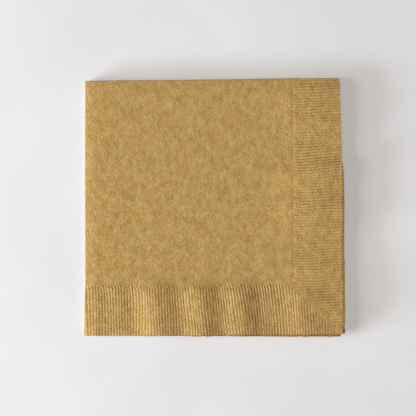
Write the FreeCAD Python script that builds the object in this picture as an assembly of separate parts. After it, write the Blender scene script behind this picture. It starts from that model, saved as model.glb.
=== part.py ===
import FreeCAD, Part
import math
import os

# Square tissue napkin, folded in half and in half again.
# It lies flat with the second fold on the left, the first fold away from the viewer,
# and its cut edges to the right and to the front. Millimetres, +Z up.

# The folded square and its paper
folded_side = 127.0
sheet_thickness = 0.35
layer_air = 0.15
fold_margin = 1.5

# The embossed border along the cut edges
border_width = 25.4
ribs_in_border = 18
rib_height = 0.3
rib_run_in = 0.8

# Gathers that lift the border, as (relative width, height) from the fold to the mitre
front_gathers = ((9.5, 0.5), (12.5, 0.45), (23.3, 0.9), (19.8, 1.0), (21.9, 1.1), (10.0, 0.35))
right_gathers = ((27.0, 0.5), (23.0, 0.8), (21.5, 0.7), (22.5, 0.6))

# How far the sheet was folded out of true: the rise of the far fold from left to right,
# and the slip of each layer's free corner to the right and away from the viewer
far_fold_rise = 1.5
top_corner_slip = (1.25, 0.75)
upper_inner_corner_slip = (-0.75, -0.45)
lower_inner_corner_slip = (0.3, -0.45)
bottom_corner_slip = (2.25, 0.95)

# Layers lie one above another, with room for ribs that ride over one another
layer_step = sheet_thickness + rib_height + layer_air
half_sheet = sheet_thickness / 2
bottom_layer, lower_inner_layer, upper_inner_layer, top_layer = [
    half_sheet + step * layer_step for step in range(4)
]
stack_middle = (bottom_layer + top_layer) / 2
layers = (
    (top_layer, top_corner_slip),
    (upper_inner_layer, upper_inner_corner_slip),
    (lower_inner_layer, lower_inner_corner_slip),
    (bottom_layer, bottom_corner_slip),
)
most_slip = max(abs(way) for level, slip in layers for way in slip)

# The flat of each layer runs from where the folds begin to the cut edges
left_fold_start = 1.5 * layer_step + half_sheet
far_fold_start = folded_side - layer_step / 2 - half_sheet
flat_width = folded_side - left_fold_start
flat_depth = far_fold_start
rib_pitch = border_width / ribs_in_border
ribs_on_front = int((flat_width - fold_margin) / rib_pitch)
ribs_on_right = int((flat_depth - fold_margin) / rib_pitch)

# The gathers keep clear of the plain paper and of the mitre by as far as a corner has slipped
front_gather_start = folded_side - ribs_on_front * rib_pitch + most_slip
front_gather_run = folded_side - border_width - most_slip - front_gather_start
right_gather_start = ribs_on_right * rib_pitch - most_slip
right_gather_run = right_gather_start - border_width - most_slip

UP = FreeCAD.Vector(0, 0, 1)
AWAY = FreeCAD.Vector(0, 1, 0)


def gather_lift(place, gathers, run):
    """Height of a row of gathers at a place along its run: smooth humps, side by side."""
    total = sum(width for width, height in gathers)
    start = 0.0
    for width, height in gathers:
        span = run * width / total
        if start <= place <= start + span:
            return height * (1 - math.cos(2 * math.pi * (place - start) / span)) / 2
        start += span
    return 0.0


def slipped(across, depth, slip):
    """Place on the table of a point of one layer, its free corner having slipped."""
    from_left = (across - left_fold_start) / flat_width
    from_far = 1 - depth / flat_depth
    x = across + slip[0] * from_left * from_far
    y = depth + slip[1] * from_left * from_far + far_fold_rise * from_left * (1 - from_far)
    return x, y


def layer_point(across, depth, level, slip, rib=0.0):
    """Point on a layer at this level, lifted by the gathers and by its share of a rib."""
    x, y = slipped(across, depth, slip)
    to_front = 1 - depth / border_width
    to_right = 1 - (folded_side - across) / border_width
    lift = 0.0
    if to_front > 0 > to_right:
        lift = to_front * gather_lift(x - front_gather_start, front_gathers, front_gather_run)
    if to_right > 0 > to_front:
        lift = to_right * gather_lift(right_gather_start - y, right_gathers, right_gather_run)
    return FreeCAD.Vector(x, y, level + lift + rib * rib_height)


def face(points):
    """Flat face through the points."""
    return Part.Face(Part.makePolygon(points + points[:1]))


def rib_faces(place, index):
    """Roof of one rib, from the border's inner line or the mitre out to the cut edge.

    place(along, out, rib) gives a point by its distance from the free corner along the
    edge and its distance in from the edge.
    """
    near, crest, far = index * rib_pitch, (index + 0.5) * rib_pitch, (index + 1) * rib_pitch
    in_mitre = index < ribs_in_border
    near_end = near if in_mitre else border_width
    far_end = far if in_mitre else border_width
    crest_end = crest if in_mitre else border_width - rib_run_in
    near_foot, far_foot = place(near, near_end, 0), place(far, far_end, 0)
    near_edge, far_edge = place(near, 0, 0), place(far, 0, 0)
    ridge_end, ridge_edge = place(crest, crest_end, 1), place(crest, 0, 1)
    faces = [
        face([near_edge, ridge_edge, ridge_end]),
        face([ridge_edge, far_edge, far_foot]),
        face([ridge_edge, far_foot, ridge_end]),
    ]
    if index:
        faces.append(face([near_edge, ridge_end, near_foot]))
    if not in_mitre:
        faces.append(face([near_foot, ridge_end, far_foot]))
    return faces


def layer_surface(level, slip):
    """One side of a layer: the plain field and the ribs of its two borders."""
    def front(along, out, rib=0):
        return layer_point(folded_side - along, out, level, slip, rib)

    def right(along, out, rib=0):
        return layer_point(folded_side - out, along, level, slip, rib)

    front_feet = [front(n * rib_pitch, border_width) for n in range(ribs_in_border, ribs_on_front + 1)]
    right_feet = [right(n * rib_pitch, border_width) for n in range(ribs_in_border, ribs_on_right + 1)]
    field = [
        front(flat_width, flat_depth),
        front(flat_width, 0),
        front(ribs_on_front * rib_pitch, 0),
        *reversed(front_feet[1:]),
        *right_feet,
        right(ribs_on_right * rib_pitch, 0),
        right(flat_depth, 0),
    ]
    faces = [face(field)]
    for index in range(ribs_on_front):
        faces += rib_faces(front, index)
    for index in range(ribs_on_right):
        faces += rib_faces(right, index)
    return faces


def cut_edges(level, slip):
    """The two cut edges of a layer, each a strip that follows the ribs."""
    def strip(place, ribs, length):
        profile = [place(n * rib_pitch / 2, n % 2) for n in range(2 * ribs + 1)]
        profile.append(place(length, 0))
        drop = UP * half_sheet
        return face([p + drop for p in profile] + [p - drop for p in reversed(profile)])

    return [
        strip(lambda along, rib: layer_point(folded_side - along, 0, level, slip, rib),
              ribs_on_front, flat_width),
        strip(lambda along, rib: layer_point(folded_side, along, level, slip, rib),
              ribs_on_right, flat_depth),
    ]


def layer(level, slip):
    """All outer faces of one flat layer, open where the folds join it."""
    return (layer_surface(level + half_sheet, slip)
            + layer_surface(level - half_sheet, slip)
            + cut_edges(level, slip))


def half_turn(centre, radius, out):
    """Half circle from above the centre to below it, bulging the given way."""
    return Part.Arc(centre + UP * radius, centre + out * radius, centre - UP * radius).toShape()


def bend_end(centre, middle_radius, out):
    """Flat end of a bent sheet, seen along the fold."""
    outer, inner = middle_radius + half_sheet, middle_radius - half_sheet
    wire = Part.Wire([
        half_turn(centre, outer, out),
        Part.makeLine(centre - UP * outer, centre - UP * inner),
        half_turn(centre, inner, out),
        Part.makeLine(centre + UP * inner, centre + UP * outer),
    ])
    return Part.Face(wire)


def far_fold(lower_level):
    """Hairpin fold that joins a layer to the one above it, along the far side."""
    centre = FreeCAD.Vector(left_fold_start, far_fold_start, lower_level + layer_step / 2)
    along = FreeCAD.Vector(flat_width, far_fold_rise, 0)
    radius = layer_step / 2
    faces = [half_turn(centre, radius + side, AWAY).extrude(along) for side in (half_sheet, -half_sheet)]
    return faces + [bend_end(centre + along, radius, AWAY)]


def left_fold():
    """Fold of the doubled sheet: two nested half turns that share the hairpin at the corner."""
    pivot = FreeCAD.Vector(left_fold_start, 0, stack_middle)
    faces = []
    for level in (upper_inner_layer, top_layer):
        for side in (half_sheet, -half_sheet):
            start = FreeCAD.Vector(left_fold_start, 0, level + side)
            faces.append(Part.makeLine(start, start + AWAY * flat_depth).revolve(pivot, -AWAY, 180))
        faces.append(bend_end(pivot, level - stack_middle, FreeCAD.Vector(-1, 0, 0)))
    # At the corner the hairpin itself is turned over, as a spline, which takes few facets
    corner = FreeCAD.Vector(left_fold_start, far_fold_start, (upper_inner_layer + top_layer) / 2)
    for side in (half_sheet, -half_sheet):
        hairpin = half_turn(corner, layer_step / 2 + side, AWAY).toNurbs().Edges[0]
        faces.append(hairpin.revolve(pivot, -AWAY, 180))
    return faces


def napkin():
    """The whole folded sheet as one solid, resting on Z = 0 about the middle of its outline."""
    faces = left_fold() + far_fold(bottom_layer) + far_fold(upper_inner_layer)
    for level, slip in layers:
        faces += layer(level, slip)
    solid = Part.makeSolid(Part.makeShell(faces))
    right_end = folded_side + max(0, *[slip[0] for level, slip in layers])
    front_end = min(0, *[slip[1] for level, slip in layers])
    far_end = folded_side + max(0, far_fold_rise)
    solid.translate(FreeCAD.Vector(-right_end / 2, -(front_end + far_end) / 2, 0))
    return solid


os.makedirs("parts", exist_ok=True)
napkin().exportStep("parts/napkin.step")
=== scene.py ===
"""A square tissue napkin with a ribbed border, folded in quarters, on a pale table."""
import logging
import math
from dataclasses import dataclass, field
from enum import Enum

import bmesh
import bpy
import numpy as np
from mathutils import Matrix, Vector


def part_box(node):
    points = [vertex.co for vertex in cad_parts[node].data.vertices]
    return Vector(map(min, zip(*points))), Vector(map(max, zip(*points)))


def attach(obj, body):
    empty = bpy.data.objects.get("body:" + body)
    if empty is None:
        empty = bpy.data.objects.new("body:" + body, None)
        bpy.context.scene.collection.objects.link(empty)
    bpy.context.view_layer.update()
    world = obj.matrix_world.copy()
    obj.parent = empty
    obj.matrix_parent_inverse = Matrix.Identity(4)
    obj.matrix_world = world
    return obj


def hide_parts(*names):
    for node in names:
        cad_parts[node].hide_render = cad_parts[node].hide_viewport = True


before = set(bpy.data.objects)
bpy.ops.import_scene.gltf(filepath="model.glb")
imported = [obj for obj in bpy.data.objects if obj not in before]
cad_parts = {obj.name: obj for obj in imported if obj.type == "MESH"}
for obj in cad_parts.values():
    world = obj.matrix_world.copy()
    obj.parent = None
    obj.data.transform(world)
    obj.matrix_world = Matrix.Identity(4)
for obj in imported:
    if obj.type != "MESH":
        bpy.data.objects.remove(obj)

log = logging.getLogger("napkin")

MM = 0.001
NODE = "napkin"
# Name of the mesh attribute that carries the painted light and shade
PAINTED_TONE = "painted_light_and_shade"
EMBOSSED = "embossed"
FOLD_PAINTED_SHADE = "folded"

Array = np.ndarray
Point = tuple[float, float, float]
Stations = tuple[tuple[float, float], ...]


def smooth(t: Array) -> Array:
    """Soft step from 0 to 1 as t goes from 0 to 1."""
    t = np.clip(t, 0.0, 1.0)
    return t * t * (3.0 - 2.0 * t)


def near(distance: Array, reach: float, full: float = 0.0) -> Array:
    """Share that falls smoothly from 1 at the full distance to 0 at the reach."""
    return smooth((reach - distance) / (reach - full))


def hump(place: Array, centre: float, width: float) -> Array:
    """Smooth hump of height one about a centre."""
    return np.exp(-((place - centre) / width) ** 2)


def swing(place: Array, stations: Stations) -> Array:
    """Smooth curve through stations, level at each of them.

    Args:
        place: Where the curve is wanted.
        stations: Pairs of place and height, in rising order of place.

    Returns:
        The curve's height at each place.
    """
    height = np.full_like(place, stations[0][1], dtype=float)
    for (start, low), (end, high) in zip(stations[:-1], stations[1:]):
        height += (high - low) * smooth((place - start) / (end - start))
    return height


def bend(turn: Array, radius: Array | float) -> tuple[Array, Array]:
    """Section of a pressed fold: a half turn that is squarer the wider it is.

    Args:
        turn: Way round the fold, from 0 above its middle to pi below it.
        radius: Half the distance between the two layers that it joins, in millimetres.

    Returns:
        How far each point is out from the fold's middle, and how far above it.
    """
    roundness = 2.0 / (0.7 + 6.0 * radius)
    out = radius * np.sin(turn).clip(0.0) ** roundness
    up = radius * np.sign(np.cos(turn)) * np.abs(np.cos(turn)) ** roundness
    return out, up


@dataclass(frozen=True)
class Unevenness:
    """Seeded smooth randomness over the table plane: plane waves that cross each other.

    Its value has a standard deviation of one half, so it mostly lies between -1 and 1.
    A pattern that is used twice is read the second time at a place far from the first.
    """

    seed: int
    shortest: float
    longest: float
    waves: int = 28

    def at(self, x: Array, y: Array) -> Array:
        """Value at each point; lengths are in millimetres."""
        draw = np.random.default_rng(self.seed)
        length = self.shortest * (self.longest / self.shortest) ** draw.random(self.waves)
        heading = draw.random(self.waves) * 2 * math.pi
        phase = draw.random(self.waves) * 2 * math.pi
        total = np.zeros(np.broadcast(x, y).shape)
        for wave, angle, start in zip(length, heading, phase):
            along = x * math.cos(angle) + y * math.sin(angle)
            total += np.cos(2 * math.pi * along / wave + start)
        return total / math.sqrt(2 * self.waves)


class Layer(Enum):
    """The four layers of the folded sheet, with each one's step above the lowest."""

    TOP = 3
    UPPER_INNER = 2
    LOWER_INNER = 1
    BOTTOM = 0

    @property
    def is_upper(self) -> bool:
        """Whether the layer lies above the middle of the stack."""
        return self.value > 1

    @property
    def is_outer(self) -> bool:
        """Whether the layer is the top or the bottom one."""
        return self in (Layer.TOP, Layer.BOTTOM)


class Edge(Enum):
    """The two cut edges of a layer."""

    FRONT = "front"
    RIGHT = "right"


# How far the free corner of each layer has slipped, to the right and away from the viewer
CORNER_SLIPS: dict[Layer, tuple[float, float]] = {
    Layer.TOP: (1.25, 0.75),
    Layer.UPPER_INNER: (-0.75, -0.45),
    Layer.LOWER_INNER: (0.3, -0.45),
    Layer.BOTTOM: (2.25, 0.95),
}

# How far a layer's cut edge strays: the right one outward, by the distance from the far fold,
# and the front one inward, by the distance from the left fold
EDGE_DRIFTS: dict[Edge, dict[Layer, Stations]] = {
    Edge.RIGHT: {
        Layer.TOP: ((1.0, 0.0), (11.0, 0.05), (20.0, 0.4), (36.0, 0.55), (50.0, 0.5),
                    (75.0, 0.45), (100.0, 0.3), (127.0, 0.1)),
        Layer.BOTTOM: ((1.0, 0.0), (20.0, 0.0), (38.0, 0.1), (48.0, 1.35), (60.0, 1.4),
                       (78.0, 1.15), (90.0, 1.15), (113.0, 0.8), (127.0, 0.5)),
    },
    Edge.FRONT: {
        Layer.TOP: ((68.0, 0.0), (84.0, 0.26), (104.0, 0.22), (116.0, 0.05), (127.0, 0.0)),
    },
}
STRAIGHT: Stations = ((0.0, 0.0),)

# Where the rows of points of a border lie, as shares of its width from the cut edge in,
# closest where the ribs start
FRONT_ROWS = (0.0, 0.03, 0.1, 0.2, 0.31, 0.43, 0.55, 0.66, 0.76, 0.83, 0.87, 0.895, 0.915,
              0.935, 0.957, 1.0)
RIGHT_ROWS = (0.0, 0.03, 0.1, 0.2, 0.31, 0.43, 0.55, 0.66, 0.76, 0.825, 0.85, 0.868, 0.882,
              0.897, 0.918, 1.0)
HIDDEN_ROWS = (0.0, 0.12, 0.32, 0.55, 0.78, 0.93, 1.0)


@dataclass(frozen=True)
class FoldPlan:
    """Sizes of the folded sheet in millimetres, as its solid has them.

    Across runs from the left fold to the right cut edge, depth from the front cut edge
    to the far fold.
    """

    side: float
    origin: tuple[float, float]
    sheet: float = 0.35
    step: float = 0.8
    border: float = 25.4
    ribs_in_border: int = 18
    far_fold_rise: float = 1.5

    @property
    def left_start(self) -> float:
        """Across, where the fold of the doubled sheet begins."""
        return 1.5 * self.step + self.sheet / 2

    @property
    def far_start(self) -> float:
        """Depth, where the hairpin folds begin."""
        return self.side - self.step / 2 - self.sheet / 2

    @property
    def flat_width(self) -> float:
        """Length of a layer's flat from the left fold to the cut edge."""
        return self.side - self.left_start

    @property
    def pitch(self) -> float:
        """Distance from one rib to the next."""
        return self.border / self.ribs_in_border

    @property
    def stack_middle(self) -> float:
        """Height of the line that the left fold turns about."""
        return self.sheet / 2 + 1.5 * self.step

    def length(self, edge: Edge) -> float:
        """Length of a layer's flat along one of its cut edges."""
        return self.flat_width if edge is Edge.FRONT else self.far_start

    def level(self, layer: Layer) -> float:
        """Height of a layer's middle surface above the table."""
        return self.sheet / 2 + layer.value * self.step

    def slipped(self, layer: Layer, across: Array, depth: Array) -> tuple[Array, Array]:
        """Place on the table of points of a layer whose free corner has slipped."""
        slip_x, slip_y = CORNER_SLIPS[layer]
        from_left = (across - self.left_start) / self.flat_width
        from_far = 1 - depth / self.far_start
        x = across + slip_x * from_left * from_far
        y = depth + slip_y * from_left * from_far + self.far_fold_rise * from_left * (1 - from_far)
        return x, y

    @staticmethod
    def from_box(low: Point, high: Point) -> "FoldPlan":
        """Plan of the napkin that fills this box, given in metres."""
        most_right = max(right for right, away in CORNER_SLIPS.values())
        most_forward = min(away for right, away in CORNER_SLIPS.values())
        side = (high[0] - low[0]) / MM - most_right
        return FoldPlan(side=side, origin=(low[0] / MM, low[1] / MM - most_forward))


@dataclass(frozen=True)
class Crease:
    """Short soft crease in the plain paper, as millimetres from the left and from the front."""

    start: tuple[float, float]
    end: tuple[float, float]
    height: float
    width: float = 1.3
    end_fade: float = 2.0

    def lift(self, x: Array, y: Array) -> Array:
        """Rise of the paper beside and along the crease, or its fall below zero."""
        run_x, run_y = self.end[0] - self.start[0], self.end[1] - self.start[1]
        length = math.hypot(run_x, run_y)
        along = ((x - self.start[0]) * run_x + (y - self.start[1]) * run_y) / length
        aside = ((x - self.start[0]) * run_y - (y - self.start[1]) * run_x) / length
        ends = (near(-along, self.end_fade, -self.end_fade)
                * near(along - length, self.end_fade, -self.end_fade))
        return self.height * hump(aside, 0.0, self.width) * ends


@dataclass(frozen=True)
class Gathers:
    """Row of gathers along one border.

    Their heights go by the distance along the border from its fold. They are full at one
    distance in from the border's inner line, below zero if in the border, and end at another.
    """

    heights: Stations
    full: float
    reach: float


@dataclass(frozen=True)
class Ribs:
    """Row of ribs along one border, from the cut edge in.

    Their strength goes by the distance along the border from its fold, and varies from rib
    to rib by a share. They rise over the fade, and start firmer than they run on.
    """

    length: float
    fade: float
    firm_start: float
    varies: float
    strength: Stations


@dataclass(frozen=True)
class Relief:
    """Everything that lifts the paper from its flat: ribs, gathers and slight unevenness.

    Lengths are in millimetres. Paleness and deepness are shares of the paper's tone: painted
    highlight on the rib crests and the lower layers' right edges, painted shade in the grooves,
    along the pressed line and on the lower layers' front edges.
    """

    plan: FoldPlan
    front_gathers: Gathers = Gathers(full=-6.0, reach=5.0, heights=(
        (0.0, 0.0), (3.4, 0.14), (9.6, 0.0), (18.0, 0.18), (23.2, 0.06), (36.0, 1.25),
        (47.3, 0.7), (58.0, 1.42), (68.0, 0.7), (78.0, 1.2), (88.0, 0.38), (97.0, 0.24),
        (107.5, 0.64), (122.0, 0.18),
    ))
    right_gathers: Gathers = Gathers(full=-18.0, reach=16.0, heights=(
        (1.0, 0.35), (8.0, 0.55), (21.0, 0.75), (33.0, 0.15), (37.5, 0.2), (45.8, 1.45),
        (56.0, 0.75), (63.5, 1.15), (71.0, 0.85), (82.0, 0.15), (96.0, 0.6), (103.0, 0.45),
        (112.0, 0.7), (124.0, 0.2),
    ))
    front_ribs: Ribs = Ribs(length=25.4, fade=1.5, firm_start=0.5, varies=0.3, strength=(
        (0.0, 0.75), (12.0, 0.88), (30.0, 0.85), (66.0, 0.9), (78.0, 1.15), (87.0, 1.1),
        (94.0, 0.95), (104.0, 0.88), (118.0, 0.68), (127.0, 0.4),
    ))
    right_ribs: Ribs = Ribs(length=23.4, fade=0.5, firm_start=0.2, varies=0.35, strength=(
        (1.0, 0.58), (18.0, 0.48), (22.0, 0.22), (31.0, 0.42), (36.0, 0.7), (45.0, 0.72),
        (49.0, 0.36), (55.0, 0.4), (58.0, 0.65), (64.0, 0.66), (68.0, 0.44), (80.0, 0.27),
        (85.0, 0.46), (101.0, 0.52), (112.0, 0.52), (126.0, 0.42),
    ))
    front_slant: Stations = ((0.0, 0.02), (30.0, 0.05), (85.0, 0.115), (104.0, 0.06), (124.0, 0.0))
    right_tilt: float = 0.03
    loose_gather_tilt: float = 0.16
    loose_rib_tilt: float = 0.06
    rib_height: float = 0.08
    rib_drift: float = 0.35
    rib_nubs: float = 0.07
    crest_fullness: float = 0.85
    strongest_rib: float = 1.7
    hook: float = 0.45
    hook_run: tuple[float, float] = (2.6, 0.4)
    firm_run: tuple[float, float] = (4.0, 1.0)
    start_jitter: float = 0.3
    mitre_fade: float = 3.2
    mitre_jitter: float = 1.4
    mitre_level: float = 0.35
    # Painted highlight on the rib crests and painted shade in the grooves between them
    crest_painted_light_and_shade: float = 0.238
    plain_wave: float = 0.59
    groove_depth: float = 0.03
    groove_offset: float = 0.5
    groove_width: float = 0.35
    # Painted shade along the pressed line
    groove_painted_shade: float = 0.17
    # Painted shade on the lower layers' front edges, under the top layer, and painted light on
    # their right edges
    front_edge_painted_shade: float = 0.25
    right_edge_painted_light: float = 0.12
    right_fold_fade: float = 0.7
    lower_fold_fade: float = 2.0
    fold_calm: float = 5.0
    fold_droop: float = 0.16
    fold_droop_run: float = 1.5
    fold_slope: float = 0.085
    edge_droop: float = 0.2
    edge_droop_run: float = 14.0
    swell_height: float = 0.06
    crinkle_height: float = 0.022
    wander: Unevenness = Unevenness(seed=11, shortest=9.0, longest=40.0)
    strength: Unevenness = Unevenness(seed=12, shortest=3.0, longest=14.0)
    starts: Unevenness = Unevenness(seed=13, shortest=1.6, longest=6.0)
    swell: Unevenness = Unevenness(seed=14, shortest=7.0, longest=26.0)
    crinkle: Unevenness = Unevenness(seed=15, shortest=3.4, longest=8.0, waves=48)
    nubs: Unevenness = Unevenness(seed=16, shortest=1.2, longest=3.0, waves=48)
    creases: tuple[Crease, ...] = (
        Crease((83.0, 51.0), (83.5, 32.0), -0.13),
        Crease((96.0, 48.0), (96.3, 37.0), -0.1),
        Crease((96.5, 35.0), (102.5, 26.5), -0.13),
        Crease((88.0, 44.0), (90.5, 30.0), 0.08),
        Crease((60.0, 40.0), (62.0, 29.0), 0.08),
    )

    def gather_lift(self, x: Array, y: Array) -> Array:
        """Lift of the gathers over the table, the same for every layer."""
        plan, front, right = self.plan, self.front_gathers, self.right_gathers
        lean = swing(x, self.front_slant) * (plan.border / 2 - y)
        from_far = plan.side - y
        tilt = self.right_tilt + self.loose_gather_tilt * hump(from_far, 42.0, 14.0)
        tilted = from_far + tilt * (x - plan.side + plan.border / 2)
        return (swing(x - lean, front.heights) * near(y - plan.border, front.reach, front.full)
                + swing(tilted, right.heights)
                * near(plan.side - x - plan.border, right.reach, right.full))

    def unevenness(self, x: Array, y: Array) -> Array:
        """Slight rise and fall of the loose paper, never below its level."""
        swell = self.swell_height * (self.swell.at(x, y) + 1.0)
        crinkle = self.crinkle_height * (self.crinkle.at(x, y) + 1.0)
        creases = sum(crease.lift(x, y) for crease in self.creases)
        return np.clip(swell + crinkle + creases, 0.0, None)

    def calm(self, x: Array, y: Array) -> Array:
        """Share of the lift that is left near the two folds, where the paper is pressed flat."""
        from_left = x - self.plan.left_start
        from_far = self.plan.far_start + self.plan.far_fold_rise * x / self.plan.side - y
        return smooth(from_left / self.fold_calm) * smooth(from_far / self.fold_calm)

    def front_course(self, along: Array, inward: Array) -> tuple[Array, Array]:
        """How far the front ribs stray from straight at each point, and how strong they are."""
        from_left = self.plan.side - along
        lean = swing(from_left, self.front_slant) * (self.front_ribs.length / 2 - inward)
        drift = self.rib_drift * self.wander.at(along, inward * 0.4)
        variation = self.front_ribs.varies * self.strength.at(along, inward * 0.3)
        return lean + drift, swing(from_left, self.front_ribs.strength) * (1.0 + variation)

    def right_course(self, along: Array, inward: Array) -> tuple[Array, Array]:
        """How far the right ribs stray from straight at each point, and how strong they are."""
        from_far = self.plan.side - along
        tilt = self.right_tilt + self.loose_rib_tilt * hump(from_far, 40.0, 12.0)
        lean = tilt * (inward - self.right_ribs.length / 2)
        drift = self.rib_drift * self.wander.at(inward * 0.6 + 300.0, along)
        variation = self.right_ribs.varies * self.strength.at(inward * 0.6 + 200.0, along)
        return lean + drift, swing(from_far, self.right_ribs.strength) * (1.0 + variation)

    def fold_fade(self, edge: Edge, along: Array, layer: Layer) -> Array | float:
        """Share of a rib's height that is left near the fold that its border starts at."""
        to_fold = self.plan.length(edge) - along
        if edge is Edge.RIGHT:
            return smooth(to_fold / self.right_fold_fade)
        return 1.0 if layer.is_upper else smooth(to_fold / self.lower_fold_fade)

    def rib(self, edge: Edge, along: Array, inward: Array, layer: Layer) -> tuple[Array, Array]:
        """Height of the ribs of one border, with the painted highlight on their crests and painted
        shade in their grooves.

        Args:
            edge: The cut edge that the ribs meet.
            along: Distance from the free corner along that edge.
            inward: Distance in from that edge.
            layer: The layer, as the lower ones lie out of step near the left fold.

        Returns:
            The lift of the paper at each point, and its painted light and shade there: paler than
            plain on the crests, deeper in the grooves.
        """
        if edge is Edge.FRONT:
            ribs, (stray, power) = self.front_ribs, self.front_course(along, inward)
        else:
            ribs, (stray, power) = self.right_ribs, self.right_course(along, inward)
        to_start = ribs.length - inward
        uneven_start = self.starts.at(along, inward * 0.0)
        # Where the embossing starts the ribs hook aside, some more than others
        stray = stray - self.hook * (1.0 + uneven_start) * near(to_start, *self.hook_run)
        stray = stray + self.rib_nubs * self.nubs.at(along, inward)
        phase = (along + stray) / self.plan.pitch
        wave = (0.5 - 0.5 * np.cos(2 * math.pi * phase)) ** self.crest_fullness
        jitter = self.start_jitter * self.starts.at(along + 40.0, inward * 0.0)
        firmness = 1.0 + ribs.firm_start * near(to_start, *self.firm_run)
        power = (np.clip(power * firmness, 0.0, self.strongest_rib)
                 * smooth((to_start + jitter) / ribs.fade) * self.fold_fade(edge, along, layer))
        # Towards the mitre each rib dies away into a level that both borders share
        mitred = smooth((along - inward) / (self.mitre_fade + self.mitre_jitter * uneven_start))
        shared = self.right_ribs
        level = self.mitre_level * smooth((shared.length - np.maximum(inward, 0.0)) / shared.fade)
        height = level + (power * wave - level) * mitred
        # Painted highlight on the crests and painted shade in the grooves
        rib_painted_light_and_shade = self.crest_painted_light_and_shade * power * 2.0 * (wave - self.plain_wave) * mitred
        return self.rib_height * height, rib_painted_light_and_shade

    def pressed_line(self, inward: Array) -> Array:
        """Share of the groove that the embossing roll left along the border's inner line."""
        return hump(inward, self.right_ribs.length + self.groove_offset, self.groove_width)

    def droop(self, layer: Layer, across: Array) -> Array:
        """How far the upper layers sink towards the pressed left fold and the loose right edge."""
        if not layer.is_upper:
            return np.zeros_like(across)
        at_fold = self.fold_droop * np.exp((self.plan.left_start - across) / self.fold_droop_run)
        at_edge = self.edge_droop * near(self.plan.side - across, self.edge_droop_run)
        return at_fold + (at_edge if layer is Layer.TOP else 0.5 * at_edge)


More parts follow.
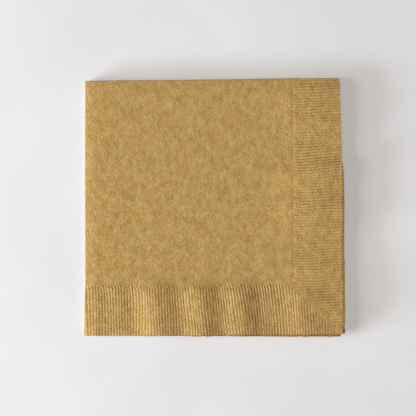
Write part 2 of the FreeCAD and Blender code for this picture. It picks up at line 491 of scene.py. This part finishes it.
@dataclass
class SheetMesh:
    """Collects the middle surface of the sheet patch by patch, in millimetres."""

    weld_distance: float = 1e-4
    points: list[Array] = field(default_factory=list)
    marks: list[Array] = field(default_factory=list)
    faces: list[list[int]] = field(default_factory=list)
    count: int = 0

    def add_points(self, x: Array, y: Array, z: Array, tone: Array | float = 0.0,
                   embossed: Array | float = 0.0, folded: Array | float = 0.0) -> Array:
        """Adds a grid or row of points and returns their numbers in the same layout.

        Args:
            x: Place to the right.
            y: Place away from the viewer.
            z: Height.
            tone: Painted light and shade there: above zero paler than plain, below zero deeper.
            embossed: Share of the border's embossing there.
            folded: Share of the painted shade along the left fold there.

        Returns:
            The numbers of the points.
        """
        x, y, z, *marks = np.broadcast_arrays(x, y, z, tone, embossed, folded)
        self.points.append(np.stack([x.ravel(), y.ravel(), z.ravel()], axis=1))
        self.marks.append(np.stack([mark.ravel() for mark in marks], axis=1))
        numbers = np.arange(x.size).reshape(x.shape) + self.count
        self.count += x.size
        return numbers

    def add_grid(self, grid: Array) -> None:
        """Adds the four-sided faces between the points of a grid of numbers."""
        corners = np.stack([grid[:-1, :-1], grid[1:, :-1], grid[1:, 1:], grid[:-1, 1:]], axis=-1)
        self.faces.extend(corners.reshape(-1, 4).tolist())

    @staticmethod
    def fan(dense: Array, near_point: int, far_point: int) -> list[list[int]]:
        """Faces that join a finely divided row of points to the two points opposite its ends.

        Args:
            dense: Numbers of the fine row's points, from the near end to the far end.
            near_point: The point opposite the row's first point.
            far_point: The point opposite its last point.

        Returns:
            The faces, as loops of points.
        """
        middle = (len(dense) - 1) // 2
        loops = [[int(a), int(b), near_point] for a, b in zip(dense[:middle], dense[1:middle + 1])]
        loops.append([int(dense[middle]), far_point, near_point])
        loops += [[int(a), int(b), far_point] for a, b in zip(dense[middle:-1], dense[middle + 1:])]
        return loops

    @staticmethod
    def face_one_way(mesh: bpy.types.Mesh) -> None:
        """Turns the faces so that all of them look to the same side of the surface."""
        work = bmesh.new()
        work.from_mesh(mesh)
        bmesh.ops.recalc_face_normals(work, faces=work.faces)
        work.to_mesh(mesh)
        work.free()

    def welded(self) -> tuple[Array, Array, list[list[int]]]:
        """Joins the points that lie in the same place.

        Returns:
            The points that are left, their marks, and the faces between them.
        """
        points = np.concatenate(self.points)
        keys = np.round(points / self.weld_distance).astype(np.int64)
        _, first, inverse = np.unique(keys, axis=0, return_index=True, return_inverse=True)
        inverse = inverse.ravel()
        faces = []
        for loop in self.faces:
            merged = [int(inverse[n]) for n in loop]
            merged = [n for k, n in enumerate(merged) if n != merged[k - 1]]
            if len(set(merged)) >= 3:
                faces.append(merged)
        return points[first], np.concatenate(self.marks)[first], faces

    def closed(self, name: str, thickness: float) -> bpy.types.Mesh:
        """Closed mesh of the sheet: the middle surface, welded and given its thickness.

        Args:
            name: Name of the new mesh.
            thickness: Thickness of the sheet in millimetres.

        Returns:
            The mesh, in metres, smooth except at the cut edge.
        """
        points, marks, faces = self.welded()
        middle = bpy.data.meshes.new(name + "_middle")
        middle.from_pydata(points.tolist(), [], faces)
        self.face_one_way(middle)
        normals = np.zeros(points.size)
        middle.vertex_normals.foreach_get("vector", normals)
        lift = normals.reshape(-1, 3) * thickness / 2
        upper = [list(face.vertices) for face in middle.polygons]
        bpy.data.meshes.remove(middle)
        count = len(points)
        lower = [[n + count for n in reversed(loop)] for loop in upper]
        steps = {(a, b) for loop in upper for a, b in zip(loop, loop[1:] + loop[:1])}
        rim = [(a, b) for a, b in steps if (b, a) not in steps]
        band = [[b, a, a + count, b + count] for a, b in rim]
        mesh = bpy.data.meshes.new(name)
        both = np.concatenate([points + lift, points - lift]) * MM
        mesh.from_pydata(both.tolist(), [], upper + lower + band)
        self.face_one_way(mesh)
        mesh.shade_smooth()
        # The marks are the painted light and shade, the embossing and the fold's painted shade
        for column, mark in enumerate((PAINTED_TONE, EMBOSSED, FOLD_PAINTED_SHADE)):
            values = np.tile(marks[:, column], 2).astype(np.float32)
            mesh.attributes.new(mark, "FLOAT", "POINT").data.foreach_set("value", values)
        rim_pairs = {frozenset(pair) for pair in rim}
        rim_pairs |= {frozenset((a + count, b + count)) for a, b in rim}
        sharp = mesh.attributes.new("sharp_edge", "BOOLEAN", "EDGE")
        for edge in mesh.edges:
            sharp.data[edge.index].value = frozenset(edge.vertices) in rim_pairs
        log.info("sheet mesh: %d points, %d faces, %d of them along the cut edge",
                 len(mesh.vertices), len(mesh.polygons), len(band))
        return mesh


@dataclass(frozen=True)
class Divisions:
    """How finely one layer is divided: what shows most is finest."""

    per_rib: int
    cells: dict[Edge, int]
    rows: dict[Edge, tuple[float, ...]]


@dataclass
class FoldedSheet:
    """The whole folded sheet, built layer by layer about its two folds. Sizes in millimetres."""

    plan: FoldPlan
    relief: Relief
    extra_band: float = 1.4
    left_fold_steps: int = 14
    far_fold_steps: int = 8
    drift_run: float = 20.0
    waver_height: float = 0.13
    waver_run: float = 2.0
    warp_height: float = 0.12
    edge_waver: Unevenness = Unevenness(seed=21, shortest=2.2, longest=7.0)
    warp: Unevenness = Unevenness(seed=22, shortest=35.0, longest=90.0)

    @property
    def band(self) -> float:
        """Width of the finely divided band: the border and a little of the field."""
        return self.plan.border + self.extra_band

    def divisions(self, layer: Layer) -> Divisions:
        """Divisions of a layer; layers that share a fold share the rows that cross it."""
        columns, rows = (round((self.plan.length(edge) - self.band) / self.plan.pitch)
                         for edge in (Edge.FRONT, Edge.RIGHT))
        return Divisions(
            per_rib={Layer.TOP: 6, Layer.BOTTOM: 4}.get(layer, 3),
            cells={Edge.FRONT: columns if layer.is_upper else columns // 2,
                   Edge.RIGHT: rows if layer.is_outer else rows // 2},
            rows={Edge.FRONT: FRONT_ROWS if layer.is_outer else HIDDEN_ROWS,
                  Edge.RIGHT: RIGHT_ROWS if layer.is_upper else HIDDEN_ROWS},
        )

    def dense_per_cell(self, layer: Layer, edge: Edge) -> int:
        """Points of a strip to each cell of the field beside it."""
        cut = self.divisions(layer)
        ribs = (self.plan.length(edge) - self.band) / self.plan.pitch
        return max(1, round(cut.per_rib * ribs / cut.cells[edge]))

    def shape(self, name: str) -> bpy.types.Mesh:
        """Builds every layer and fold and returns the closed mesh of the sheet."""
        mesh = SheetMesh()
        far_lines = {}
        left_lines = {}
        for layer in Layer:
            left_lines[layer], far_lines[layer] = self.add_layer(mesh, layer)
        self.add_left_fold(mesh, Layer.TOP, left_lines[Layer.TOP])
        self.add_left_fold(mesh, Layer.UPPER_INNER, left_lines[Layer.UPPER_INNER])
        self.add_far_fold(mesh, Layer.UPPER_INNER, far_lines[Layer.TOP])
        self.add_far_fold(mesh, Layer.BOTTOM, far_lines[Layer.BOTTOM])
        self.add_corner(mesh)
        return mesh.closed(name, self.plan.sheet)

    def settle(self, x: Array, y: Array) -> tuple[Array, Array]:
        """Moves points from the napkin's own corner to its place, with the sheet's slight warp."""
        # The corner at the front of the left fold is pressed out a little both ways
        leftward = 0.3 * smooth((self.plan.border - y) / 10.0) * near(x, 6.0)
        forward = (0.04 + 0.22 * near(x, 22.0)) * near(y, 8.0)
        shift_x = self.warp_height * self.warp.at(x * 0.3, y) - leftward
        shift_y = self.warp_height * self.warp.at(x, y * 0.3 + 400.0) - forward
        return x + shift_x + self.plan.origin[0], y + shift_y + self.plan.origin[1]

    def surface(self, layer: Layer, across: Array, depth: Array,
                edge: Edge | None) -> tuple[Array, ...]:
        """Points of a layer's flat, with all that lifts them.

        Args:
            layer: The layer that the points are on.
            across: Distance of each point from the left fold's outermost line.
            depth: Distance of each point from the front cut edge.
            edge: The border that the points are in, or None in the field.

        Returns:
            x, y and z in millimetres, in the frame's place, then the paper's painted light and
            shade and its share of the embossing.
        """
        plan, relief = self.plan, self.relief
        inward = plan.side - across
        x, y = plan.slipped(layer, across, depth)
        x = x + self.drift(Edge.RIGHT, layer, plan.side - depth) * near(inward, self.drift_run)
        y = y + self.drift(Edge.FRONT, layer, across) * near(depth, self.drift_run)
        calm = relief.calm(x, y)
        lift = (relief.gather_lift(x, y) + relief.unevenness(x, y)) * calm
        tone = np.zeros(lift.shape)
        if edge is Edge.FRONT:
            rib, tone = relief.rib(edge, inward, depth, layer)
            lift = lift + rib
        elif edge is Edge.RIGHT:
            rib, tone = relief.rib(edge, depth, inward, layer)
            groove = relief.pressed_line(inward) * smooth((depth - plan.border) / 3.0) * calm
            lift = np.maximum(lift + rib - relief.groove_depth * groove, 0.0)
            # Painted shade along the pressed line's groove
            tone = tone - relief.groove_painted_shade * groove
        if edge is not None:
            x = x + self.right_waver(across, depth)
            y = y + self.front_waver(across, depth)
        x, y = self.settle(x, y)
        z = plan.level(layer) + lift - relief.droop(layer, across)
        return x, y, z, self.tone(layer, tone, across, depth), self.embossed(across, depth)

    @staticmethod
    def drift(edge: Edge, layer: Layer, place: Array) -> Array:
        """How far a layer's cut edge strays at each place along it."""
        return swing(place, EDGE_DRIFTS[edge].get(layer, STRAIGHT))

    def front_waver(self, across: Array, depth: Array) -> Array:
        """Small waver of the front cut edge, as soft paper is never cut quite straight."""
        waver = self.waver_height * self.edge_waver.at(across, depth * 0)
        return waver * near(depth, self.waver_run)

    def right_waver(self, across: Array, depth: Array) -> Array:
        """Small waver of the right cut edge."""
        waver = self.waver_height * self.edge_waver.at(depth, across * 0 + 90.0)
        return waver * near(self.plan.side - across, self.waver_run)

    def embossed(self, across: Array, depth: Array) -> Array:
        """Share of the embossing at each point: one in the borders and none in the field."""
        inner_line = self.relief.right_ribs.length
        inward = np.minimum(depth, self.plan.side - across)
        return near(inward, inner_line + 1.0, inner_line - 0.5)

    def tone(self, layer: Layer, ribbed: Array, across: Array, depth: Array) -> Array:
        """Painted tone of the paper: the ribs' painted light and shade, and on the lower layers
        painted shade in front, where they lie under the top layer, and painted light at the right.
        """
        if layer is Layer.TOP:
            return ribbed
        at_front = near(depth, 4.0, 1.0)
        at_right = near(self.plan.side - across, 4.0, 1.0) * (1.0 - at_front)
        relief = self.relief
        # Painted shade on the lower layers' front edges and painted light on their right edges
        return ribbed - relief.front_edge_painted_shade * at_front + relief.right_edge_painted_light * at_right

    def fold_tone(self, upper: Layer, lower: Layer, ribbed: Array | float, across: Array,
                  depth: Array, turn: Array) -> Array:
        """Painted tone round a fold, blended from the upper layer's painted light and shade to the
        lower one's.
        """
        share = turn / math.pi
        above = self.tone(upper, np.asarray(ribbed), across, depth)
        below = self.tone(lower, np.zeros(1), across, depth)
        return above * (1 - share) + below * share

    def add_layer(self, mesh: SheetMesh, layer: Layer) -> tuple[Array, Array]:
        """Adds the flat of one layer.

        Args:
            mesh: The mesh to add to.
            layer: The layer to build.

        Returns:
            The depths of the points on its left fold line, and the places across of those
            on its far fold line.
        """
        plan, cut, band = self.plan, self.divisions(layer), self.band
        strips = {edge: self.add_strip(mesh, layer, edge) for edge in Edge}
        across = np.linspace(plan.side - band, plan.left_start, cut.cells[Edge.FRONT] + 1)
        depth = np.linspace(band, plan.far_start, cut.cells[Edge.RIGHT] + 1)
        field_x, field_y = np.meshgrid(across, depth, indexing="ij")
        field_grid = mesh.add_points(*self.surface(layer, field_x, field_y, None))
        mesh.add_grid(field_grid[1:, 1:])
        self.add_field_edge(mesh, strips[Edge.FRONT], field_grid[:, 1], Edge.FRONT, layer)
        self.add_field_edge(mesh, strips[Edge.RIGHT], field_grid[1, :], Edge.RIGHT, layer)
        left_line = np.concatenate([np.array(cut.rows[Edge.FRONT]) * band, depth[1:]])
        far_line = np.concatenate([plan.side - np.array(cut.rows[Edge.RIGHT]) * band, across[1:]])
        return left_line, far_line

    def add_strip(self, mesh: SheetMesh, layer: Layer, edge: Edge) -> Array:
        """Adds the band along one cut edge of a layer, from the mitre to the fold.

        Args:
            mesh: The mesh to add to.
            layer: The layer to build.
            edge: The cut edge.

        Returns:
            The numbers of the points on the band's inner line, from the mitre on.
        """
        plan, cut, band = self.plan, self.divisions(layer), self.band
        points = self.dense_per_cell(layer, edge) * cut.cells[edge] + 1
        mitre = np.linspace(0.0, band, cut.per_rib * (plan.ribs_in_border + 1) + 1)
        along = np.concatenate([mitre, np.linspace(band, plan.length(edge), points)[1:]])
        inward = np.minimum(along, band)[:, None] * np.array(cut.rows[edge])[None, :]
        along = np.broadcast_to(along[:, None], inward.shape)
        if edge is Edge.FRONT:
            grid = mesh.add_points(*self.surface(layer, plan.side - along, inward, edge))
            mesh.add_grid(grid)
        else:
            grid = mesh.add_points(*self.surface(layer, plan.side - inward, along, edge))
            mesh.add_grid(grid[:, ::-1])
        return grid[len(mitre) - 1:, -1]

    def add_field_edge(self, mesh: SheetMesh, dense: Array, coarse: Array, edge: Edge,
                       layer: Layer) -> None:
        """Fills between a strip's fine inner row and the first row of the field's cells."""
        per_cell = self.dense_per_cell(layer, edge)
        for cell in range(len(coarse) - 1):
            row = dense[cell * per_cell:(cell + 1) * per_cell + 1]
            if cell == 0:
                # Both strips meet in the first cell, and each turns its fan about the far point
                fan = [[int(a), int(b), int(coarse[1])] for a, b in zip(row[:-1], row[1:])]
            else:
                fan = mesh.fan(row, int(coarse[cell]), int(coarse[cell + 1]))
            mesh.faces.extend(loop[::-1] if edge is Edge.FRONT else loop for loop in fan)

    def add_left_fold(self, mesh: SheetMesh, upper: Layer, depths: Array) -> None:
        """Adds the half turn that joins a layer to its partner below, along the left side."""
        plan = self.plan
        turn = np.linspace(0.0, math.pi, self.left_fold_steps + 1)[:, None]
        depth = depths[None, :]
        in_band = depth <= self.band
        radius = plan.level(upper) - plan.stack_middle
        along = plan.flat_width + radius * turn
        rib, tone = self.relief.rib(Edge.FRONT, along, np.minimum(depth, self.band), upper)
        # The front ribs run on round the fold and have died out at its outermost line
        run_on = np.clip(np.cos(turn), 0.0, 1.0) ** 2 * in_band
        rib = rib * run_on
        out, up = bend(turn, radius)
        x = plan.left_start - out - rib * np.sin(turn)
        z = plan.stack_middle + up + rib * np.cos(turn) - self.fold_sink(turn, out)
        x, y = self.settle(x, depth + self.front_waver(x, depth) * in_band)
        lower = Layer(Layer.TOP.value - upper.value)
        across = np.full_like(depth, plan.left_start)
        tone = self.fold_tone(upper, lower, tone * run_on, across, depth, turn)
        embossed = self.embossed(across, depth)
        # The last mark is the painted shade on the fold's wall
        mesh.add_grid(mesh.add_points(x, y, z, tone, embossed, self.pressed(turn)))

    def fold_sink(self, turn: Array, out: Array) -> Array:
        """How far the pressed left fold has sunk at each point of its section."""
        share = 0.5 + 0.5 * np.cos(turn)
        return (self.relief.fold_droop + self.relief.fold_slope * out) * share

    @staticmethod
    def pressed(turn: Array) -> Array:
        """Share of the painted shade on the left fold's colour at each point of its section."""
        return np.sin(turn) ** 1.5

    def add_far_fold(self, mesh: SheetMesh, lower: Layer, acrosses: Array) -> None:
        """Adds the hairpin that joins a layer to the one above it, along the far side."""
        plan = self.plan
        turn = np.linspace(0.0, math.pi, self.far_fold_steps + 1)[:, None]
        across = acrosses[None, :]
        depth = np.full_like(across, plan.far_start)
        upper = Layer(lower.value + 1)
        radius = plan.step / 2
        out, up = bend(turn, radius)
        x, y = plan.slipped(Layer.TOP, across, depth)
        upper_sunk, lower_sunk = (self.relief.droop(layer, across) for layer in (upper, lower))
        sunk = lower_sunk + (upper_sunk - lower_sunk) * (0.5 + 0.5 * np.cos(turn))
        z = plan.level(lower) + radius + up - sunk
        x = x + self.right_waver(x, depth)
        y = y + out
        x, y = self.settle(np.broadcast_to(x, y.shape), y)
        tone = self.fold_tone(upper, lower, 0.0, across, depth, turn)
        mesh.add_grid(mesh.add_points(x, y, z, tone, self.embossed(across, depth))[:, ::-1])

    def add_corner(self, mesh: SheetMesh) -> None:
        """Adds the corner where the far hairpin itself is turned over at the left."""
        plan = self.plan
        turn = np.linspace(0.0, math.pi, self.left_fold_steps + 1)[:, None]
        pin = np.linspace(0.0, math.pi, self.far_fold_steps + 1)[None, :]
        away, above = bend(pin, plan.step / 2)
        out, up = bend(turn, plan.step + above)
        x, y = self.settle(plan.left_start - out, plan.far_start + away + 0 * turn)
        z = plan.stack_middle + up - self.fold_sink(turn, out)
        # Painted shade on the corner's fold as well
        mesh.add_grid(mesh.add_points(x, y, z, folded=self.pressed(turn)))


def linear(code: str) -> tuple[float, float, float, float]:
    """Linear colour with full alpha of an sRGB hex code such as B59358."""
    channels = [int(code[k:k + 2], 16) / 255 for k in (0, 2, 4)]
    values = [c / 12.92 if c <= 0.04045 else ((c + 0.055) / 1.055) ** 2.4 for c in channels]
    return (*values, 1.0)


def add_node(tree: bpy.types.NodeTree, kind: str, settings: dict | None = None,
             links: dict | None = None) -> bpy.types.Node:
    """Adds a node to a tree.

    Args:
        tree: The node tree to add to.
        kind: The node's type, without its ShaderNode prefix.
        settings: Values by name: sockets by their label or number, the rest as properties.
        links: Output sockets by the label or number of the input that they feed.

    Returns:
        The new node.
    """
    node = tree.nodes.new("ShaderNode" + kind)
    for name, value in (settings or {}).items():
        if isinstance(name, int) or name in node.inputs:
            node.inputs[name].default_value = value
        else:
            setattr(node, name, value)
    for name, source in (links or {}).items():
        tree.links.new(source, node.inputs[name])
    return node


def new_material(name: str) -> tuple[bpy.types.Material, bpy.types.NodeTree]:
    """Empty node material and its tree."""
    material = bpy.data.materials.new(name)
    material.use_nodes = True
    material.node_tree.nodes.clear()
    return material, material.node_tree


@dataclass(frozen=True)
class EmbossedTissue:
    """Tissue paper dyed gold brown all through, creped and then embossed.

    Matte, with no gloss at any angle. Its short fibres clump in flecks about a millimetre
    long, over cloudy patches a few millimetres wide. The ridges of the creping are about a
    third of a millimetre apart, and are drawn as nubs twice as wide, so that they show.
    """

    plain: str = "BD9759"
    deep: str = "8C5F28"
    pale: str = "D7BC89"
    roughness: float = 0.95
    ior: float = 1.5
    specular: float = 0.1
    patch_mm: float = 3.1
    fleck_mm: float = 0.8
    nub_mm: float = 0.7
    lean_degrees: float = 20.0
    stretch: float = 1.3
    patch_tone: float = 0.44
    fleck_tone: float = 0.57
    patch_height: float = 0.085
    fleck_height: float = 0.063
    nub_height: float = 0.09
    embossed_nub_height: float = 0.035
    relief_mm: float = 1.48
    fold_painted_shade: float = 0.62

    def material(self) -> bpy.types.Material:
        """Builds the material."""
        material, tree = new_material("embossed_tissue_paper")
        place = add_node(tree, "TexCoord").outputs["Object"]
        # Fibres run mostly one way, a little off the napkin's sides, and the flecks with them
        grain = add_node(tree, "Mapping", {
            "Rotation": (0.0, 0.0, math.radians(-self.lean_degrees)),
            "Scale": (1 / MM, 1 / MM / self.stretch, 1 / MM)}, {"Vector": place}).outputs["Vector"]
        patches, flecks, nubs = (
            add_node(tree, "TexNoise", {"Scale": 1 / size_mm, "Detail": detail, "Roughness": 0.55},
                     {"Vector": grain}).outputs[0]
            for size_mm, detail in ((self.patch_mm, 2.0), (self.fleck_mm, 3.0), (self.nub_mm, 2.0)))
        # Painted light and shade: the rib crests and the lower layers' right edges painted pale,
        # the grooves, the pressed line and the lower layers' front edges painted deep; the flecks
        # and patches add the paper's own random tone
        tone = add_node(tree, "Attribute", {"attribute_name": PAINTED_TONE}).outputs["Fac"]
        for pattern, share in ((flecks, self.fleck_tone), (patches, self.patch_tone)):
            tone = add_node(tree, "Math", {"operation": "MULTIPLY_ADD", 1: share},
                            {0: pattern, 2: tone}).outputs[0]
        ramp = add_node(tree, "ValToRGB", links={"Fac": tone})
        stops = ramp.color_ramp
        stops.elements[0].position, stops.elements[0].color = 0.1, linear(self.deep)
        stops.elements[1].position, stops.elements[1].color = 0.9, linear(self.pale)
        stops.elements.new(0.5).color = linear(self.plain)
        # Painted shade along the left fold: its colour is darkened where the fold's wall faces the
        # low lamp
        folded = add_node(tree, "Attribute", {"attribute_name": FOLD_PAINTED_SHADE}).outputs["Fac"]
        left = add_node(tree, "Math", {"operation": "MULTIPLY_ADD", 1: -self.fold_painted_shade, 2: 1.0},
                        {0: folded}).outputs[0]
        colour = add_node(tree, "VectorMath", {"operation": "SCALE"},
                          {0: ramp.outputs["Color"], "Scale": left}).outputs[0]
        # The embossing roll leaves the borders nubblier than the field
        embossed = add_node(tree, "Attribute", {"attribute_name": EMBOSSED}).outputs["Fac"]
        nubbly = add_node(tree, "Math", {
            "operation": "MULTIPLY_ADD", 1: self.embossed_nub_height, 2: self.nub_height},
            {0: embossed}).outputs[0]
        height = add_node(tree, "Math", {"operation": "MULTIPLY"}, {0: nubs, 1: nubbly}).outputs[0]
        for pattern, share in ((patches, self.patch_height), (flecks, self.fleck_height)):
            height = add_node(tree, "Math", {"operation": "MULTIPLY_ADD", 1: share},
                              {0: pattern, 2: height}).outputs[0]
        bump = add_node(tree, "Bump", {"Strength": 1.0, "Distance": self.relief_mm * MM},
                        {"Height": height})
        shader = add_node(tree, "BsdfPrincipled", {
            "Roughness": self.roughness, "IOR": self.ior, "Specular IOR Level": self.specular,
        }, {"Base Color": colour, "Normal": bump.outputs["Normal"]})
        add_node(tree, "OutputMaterial", links={"Surface": shader.outputs[0]})
        return material


@dataclass(frozen=True)
class PaintedBoard:
    """Board with matte white emulsion, rolled on: pale, flat and very faintly cloudy."""

    light: str = "F2F0F0"
    shade: str = "EAE8EA"
    cloud_mm: float = 60.0
    roughness: float = 0.8
    specular: float = 0.2

    def material(self) -> bpy.types.Material:
        """Builds the material."""
        material, tree = new_material("painted_white_board")
        place = add_node(tree, "TexCoord").outputs["Object"]
        clouds = add_node(tree, "TexNoise", {"Scale": 1 / (self.cloud_mm * MM), "Detail": 3.0},
                          {"Vector": place})
        ramp = add_node(tree, "ValToRGB", links={"Fac": clouds.outputs[0]})
        stops = ramp.color_ramp
        stops.elements[0].position, stops.elements[0].color = 0.3, linear(self.shade)
        stops.elements[1].position, stops.elements[1].color = 0.7, linear(self.light)
        shader = add_node(tree, "BsdfPrincipled", {
            "Roughness": self.roughness, "Specular IOR Level": self.specular,
        }, {"Base Color": ramp.outputs["Color"]})
        add_node(tree, "OutputMaterial", links={"Surface": shader.outputs[0]})
        return material


@dataclass
class Napkin:
    """The napkin: one folded sheet of embossed tissue."""

    plan: FoldPlan
    finish: EmbossedTissue = EmbossedTissue()
    name: str = "folded_napkin"

    def build(self) -> bpy.types.Object:
        """Makes the sheet's mesh as an object of the scene."""
        sheet = FoldedSheet(self.plan, Relief(self.plan))
        napkin = bpy.data.objects.new(self.name, sheet.shape(self.name))
        bpy.context.scene.collection.objects.link(napkin)
        return napkin

    def dress(self, napkin: bpy.types.Object) -> None:
        """Gives the sheet its paper and says what it stands for in the frame."""
        napkin.data.materials.append(self.finish.material())
        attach(napkin, "root")
        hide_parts(NODE)


@dataclass(frozen=True)
class SoftLamp:
    """Soft rectangular lamp, by its heading seen from above and its elevation.

    Its share is what it brings of the light on the table, where all the lamps and the
    room together show a colour as written.
    """

    name: str
    elevation_degrees: float
    width_m: float
    height_m: float
    share: float
    heading_degrees: float = 200.0
    distance_m: float = 1.4
    colour: str = "FAFCFF"

    def build(self, centre: Point) -> None:
        """Hangs the lamp so that it looks at the centre."""
        lamp = bpy.data.lights.new(self.name, "AREA")
        lamp.shape = "RECTANGLE"
        lamp.size = self.width_m
        lamp.size_y = self.height_m
        lamp.color = linear(self.colour)[:3]
        rise = math.radians(self.elevation_degrees)
        heading = math.radians(self.heading_degrees)
        lamp.energy = self.share * math.pi ** 2 * self.distance_m ** 2 / math.sin(rise)
        holder = bpy.data.objects.new(self.name, lamp)
        flat = math.cos(rise) * self.distance_m
        holder.location = (centre[0] + flat * math.cos(heading),
                           centre[1] + flat * math.sin(heading),
                           math.sin(rise) * self.distance_m)
        holder.rotation_euler = (math.pi / 2 - rise, 0.0, heading + math.pi / 2)
        bpy.context.scene.collection.objects.link(holder)


@dataclass
class Studio:
    """Table, lamps, room light and camera, placed about the napkin."""

    centre: Point
    board: PaintedBoard = PaintedBoard()
    table_m: float = 5.0
    picture_width_mm: float = 207.0
    camera_height_m: float = 0.75
    sensor_mm: float = 36.0
    aim_mm: tuple[float, float] = (-3.3, -0.4)
    lamps: tuple[SoftLamp, ...] = (
        SoftLamp("low_strip", elevation_degrees=6.5, width_m=0.62, height_m=0.12, share=0.25,
                 colour="E9F4FF"),
        SoftLamp("side_box", elevation_degrees=17.0, width_m=0.62, height_m=0.4, share=0.19,
                 heading_degrees=183.0),
        SoftLamp("top_box", elevation_degrees=90.0, width_m=0.6, height_m=0.6, share=0.44,
                 distance_m=1.7, colour="FFFBF4"),
    )
    room_colour: str = "FFFBF4"

    def build(self) -> None:
        """Builds the whole studio."""
        self.build_table()
        for lamp in self.lamps:
            lamp.build(self.centre)
        self.build_room_light()
        self.build_camera()

    def build_table(self) -> None:
        """Pale table top at the height of the napkin's underside."""
        half = self.table_m / 2
        mesh = bpy.data.meshes.new("table")
        corners = [(-half, -half, 0), (half, -half, 0), (half, half, 0), (-half, half, 0)]
        mesh.from_pydata(corners, [], [(0, 1, 2, 3)])
        table = bpy.data.objects.new("table", mesh)
        bpy.context.scene.collection.objects.link(table)
        table.data.materials.append(self.board.material())

    def build_room_light(self) -> None:
        """Even light from all round, as in a white room."""
        world = bpy.data.worlds.new("white_room")
        world.use_nodes = True
        background = world.node_tree.nodes["Background"]
        background.inputs["Color"].default_value = linear(self.room_colour)
        background.inputs["Strength"].default_value = 1.0 - sum(lamp.share for lamp in self.lamps)
        bpy.context.scene.world = world

    def build_camera(self) -> None:
        """Camera straight above, framed as the photograph is."""
        lens = bpy.data.cameras.new("camera")
        lens.sensor_width = self.sensor_mm
        lens.lens = self.sensor_mm * self.camera_height_m / (self.picture_width_mm * MM)
        camera = bpy.data.objects.new("camera", lens)
        camera.location = (self.centre[0] + self.aim_mm[0] * MM,
                           self.centre[1] + self.aim_mm[1] * MM,
                           self.camera_height_m + self.centre[2])
        bpy.context.scene.collection.objects.link(camera)
        bpy.context.scene.camera = camera


def main() -> None:
    """Builds the napkin and its studio."""
    logging.basicConfig(level=logging.INFO, format="%(message)s")
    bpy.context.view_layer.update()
    low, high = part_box(NODE)
    centre = tuple((low + high) / 2)
    napkin = Napkin(FoldPlan.from_box(tuple(low), tuple(high)))
    piece = napkin.build()
    napkin.dress(piece)
    triangles = sum(len(face.vertices) - 2 for face in piece.data.polygons)
    log.info("%s: %d triangles", piece.name, triangles)
    studio = Studio(centre=(centre[0], centre[1], high[2]))
    studio.build()
    log.info("studio: table, %d lamps, room light and camera", len(studio.lamps))
    bpy.context.scene.view_settings.view_transform = "Standard"


if __name__ == "__main__":
    main()
